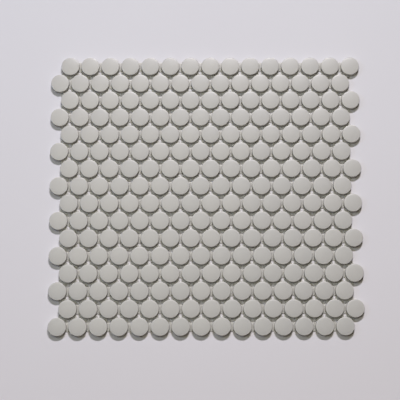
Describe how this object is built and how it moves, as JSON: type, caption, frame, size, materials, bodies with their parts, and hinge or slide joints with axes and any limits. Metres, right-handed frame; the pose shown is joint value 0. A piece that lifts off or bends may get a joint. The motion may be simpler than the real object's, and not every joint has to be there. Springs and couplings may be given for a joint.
{
  "type": "mosaic tile sheet",
  "caption": "Flat sheet of round glazed porcelain discs in staggered rows, joined by small resin dots, ready to be bedded in adhesive and grouted.",
  "frame": {"origin": "middle of the sheet's back, in the plane it lies on", "axes": "+X along the rows of discs; +Y in the sheet, across the rows, towards row 1, which stands half a pitch to the right of row 2; +Z out of the glazed faces"},
  "size_m": [0.3236, 0.2918, 0.006],
  "materials": {
    "tile": "satin",
    "joint_dot": "satin"
  },
  "bodies": {
    "root": {"tile_row_01": "tile", "tile_row_02": "tile", "tile_row_03": "tile", "tile_row_04": "tile", "tile_row_05": "tile", "tile_row_06": "tile", "tile_row_07": "tile", "tile_row_08": "tile", "tile_row_09": "tile", "tile_row_10": "tile", "tile_row_11": "tile", "tile_row_12": "tile", "tile_row_13": "tile", "tile_row_14": "tile", "tile_row_15": "tile", "tile_row_16": "tile", "joint_dots_in_row_01": "joint_dot", "joint_dots_in_row_02": "joint_dot", "joint_dots_in_row_03": "joint_dot", "joint_dots_in_row_04": "joint_dot", "joint_dots_in_row_05": "joint_dot", "joint_dots_in_row_06": "joint_dot", "joint_dots_in_row_07": "joint_dot", "joint_dots_in_row_08": "joint_dot", "joint_dots_in_row_09": "joint_dot", "joint_dots_in_row_10": "joint_dot", "joint_dots_in_row_11": "joint_dot", "joint_dots_in_row_12": "joint_dot", "joint_dots_in_row_13": "joint_dot", "joint_dots_in_row_14": "joint_dot", "joint_dots_in_row_15": "joint_dot", "joint_dots_in_row_16": "joint_dot", "joint_dots_row_01_to_02": "joint_dot", "joint_dots_row_02_to_03": "joint_dot", "joint_dots_row_03_to_04": "joint_dot", "joint_dots_row_04_to_05": "joint_dot", "joint_dots_row_05_to_06": "joint_dot", "joint_dots_row_06_to_07": "joint_dot", "joint_dots_row_07_to_08": "joint_dot", "joint_dots_row_08_to_09": "joint_dot", "joint_dots_row_09_to_10": "joint_dot", "joint_dots_row_10_to_11": "joint_dot", "joint_dots_row_11_to_12": "joint_dot", "joint_dots_row_12_to_13": "joint_dot", "joint_dots_row_13_to_14": "joint_dot", "joint_dots_row_14_to_15": "joint_dot", "joint_dots_row_15_to_16": "joint_dot"}
  },
  "joints": []
}
